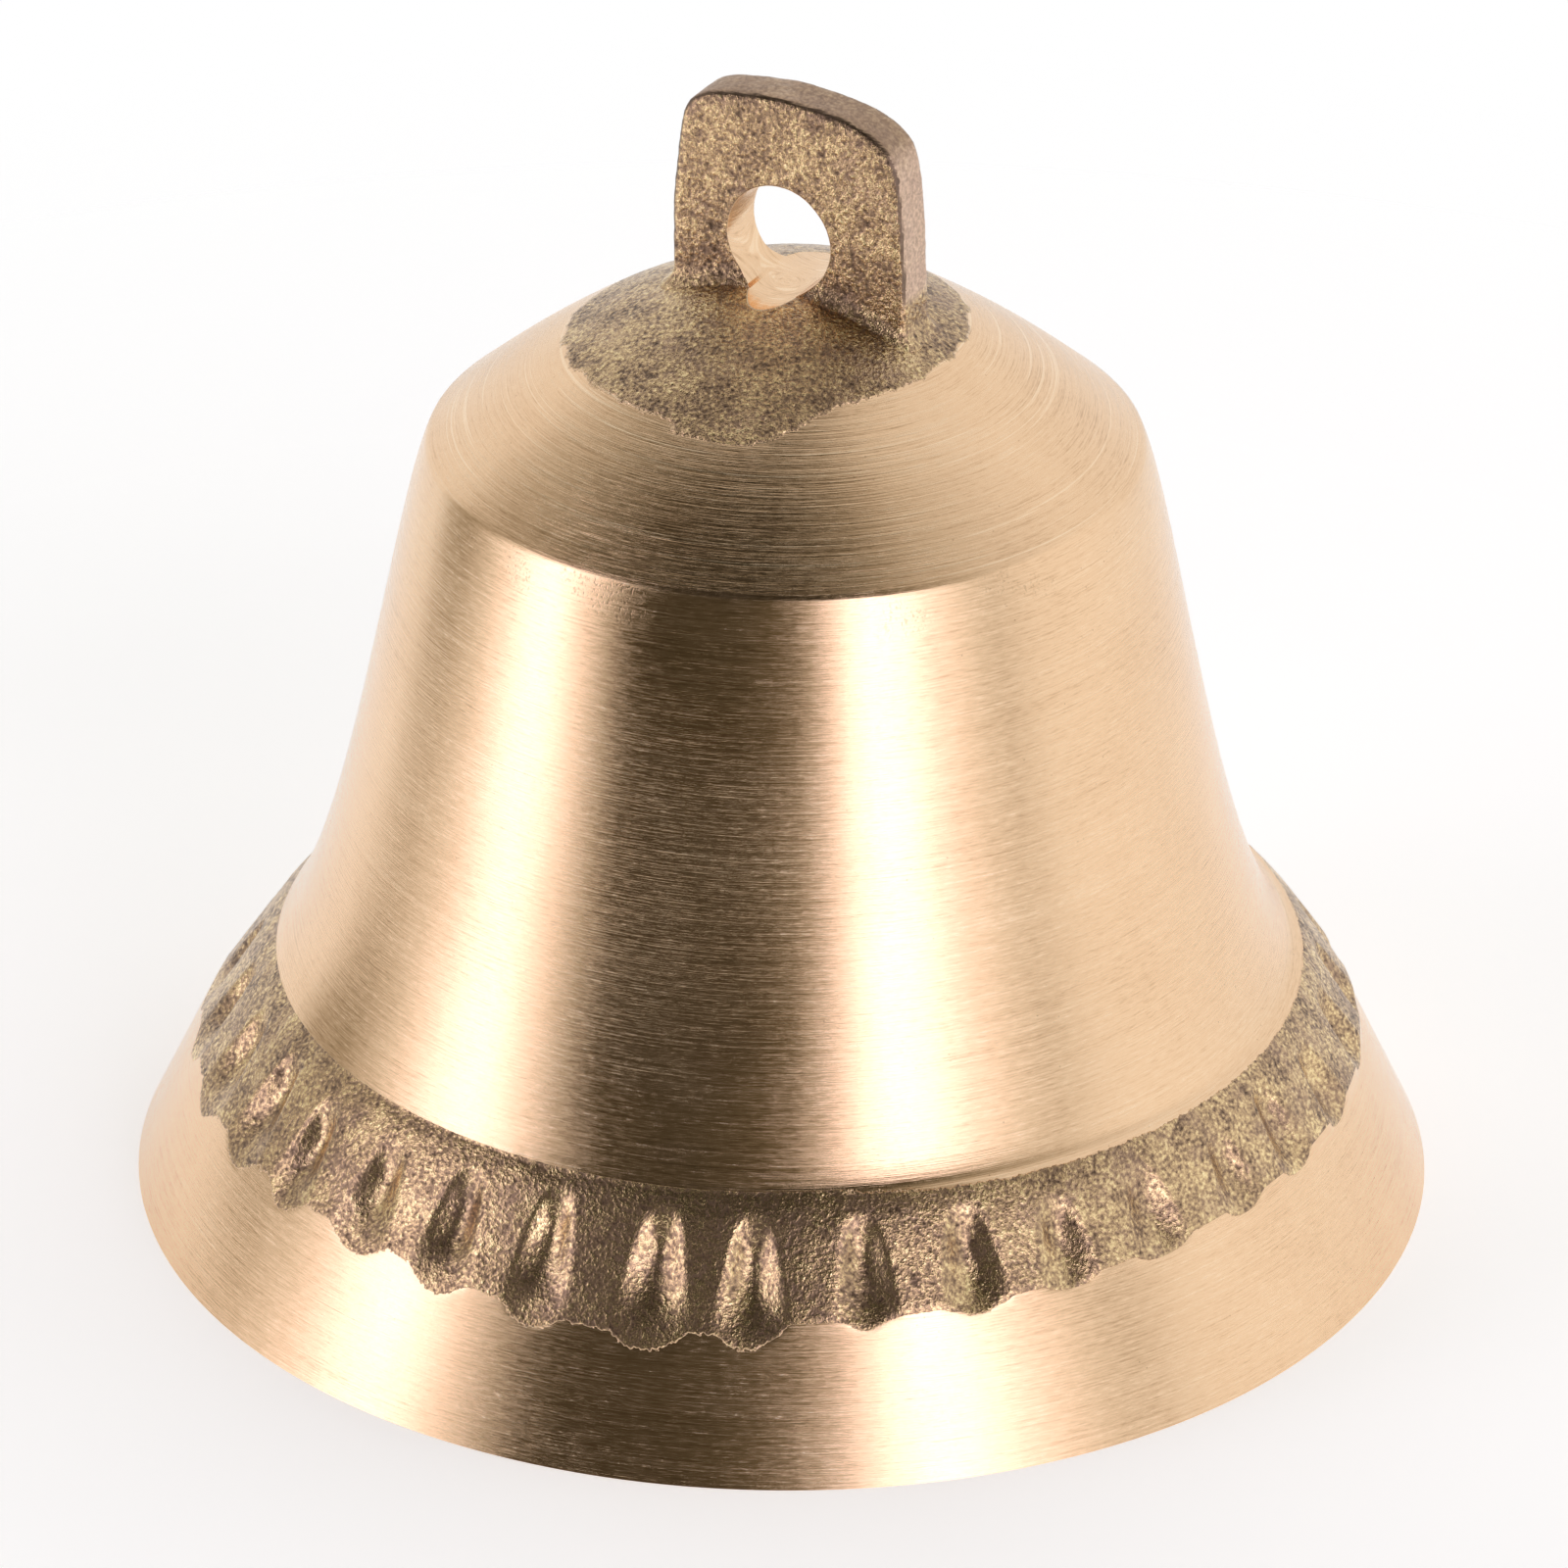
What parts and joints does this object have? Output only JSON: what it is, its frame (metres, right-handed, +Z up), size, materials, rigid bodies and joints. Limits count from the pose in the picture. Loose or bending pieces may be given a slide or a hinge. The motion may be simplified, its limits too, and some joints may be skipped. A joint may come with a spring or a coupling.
{
  "type": "temple bell",
  "caption": "Small cast brass bell with a flared turned lip, a rough ridged band, a drilled hanging lug and a clapper hung inside on a wire link.",
  "frame": {"origin": "centre of the mouth plane, where the bell stands on its lip", "axes": "+Z up along the bell's turned axis, X along the lug's plate, Y along its hanging hole"},
  "size_m": [0.07, 0.07, 0.063],
  "materials": {
    "bell_brass": "turned and brushed bright, with bands left as cast",
    "staple_iron": "black iron wire with casting scale",
    "link_steel": "drawn steel wire",
    "shank_steel": "drawn steel wire",
    "clapper_brass": "tumbled, slightly tarnished"
  },
  "bodies": {
    "bell": {"bell_body": "bell_brass", "clapper_staple": "staple_iron"},
    "link": {"clapper_link": "link_steel"},
    "clapper": {"clapper_shank": "shank_steel", "clapper_ball": "clapper_brass"}
  },
  "joints": [
    {"name": "link_swing", "type": "hinge", "parent": "bell", "child": "link", "pos_m": [0, 0, 0.036], "axis": [0, 1, 0], "range_deg": [-34, 34]},
    {"name": "clapper_swing", "type": "hinge", "parent": "link", "child": "clapper", "pos_m": [0, 0, 0.0303], "axis": [1, 0, 0], "range_deg": [-20, 20]}
  ]
}
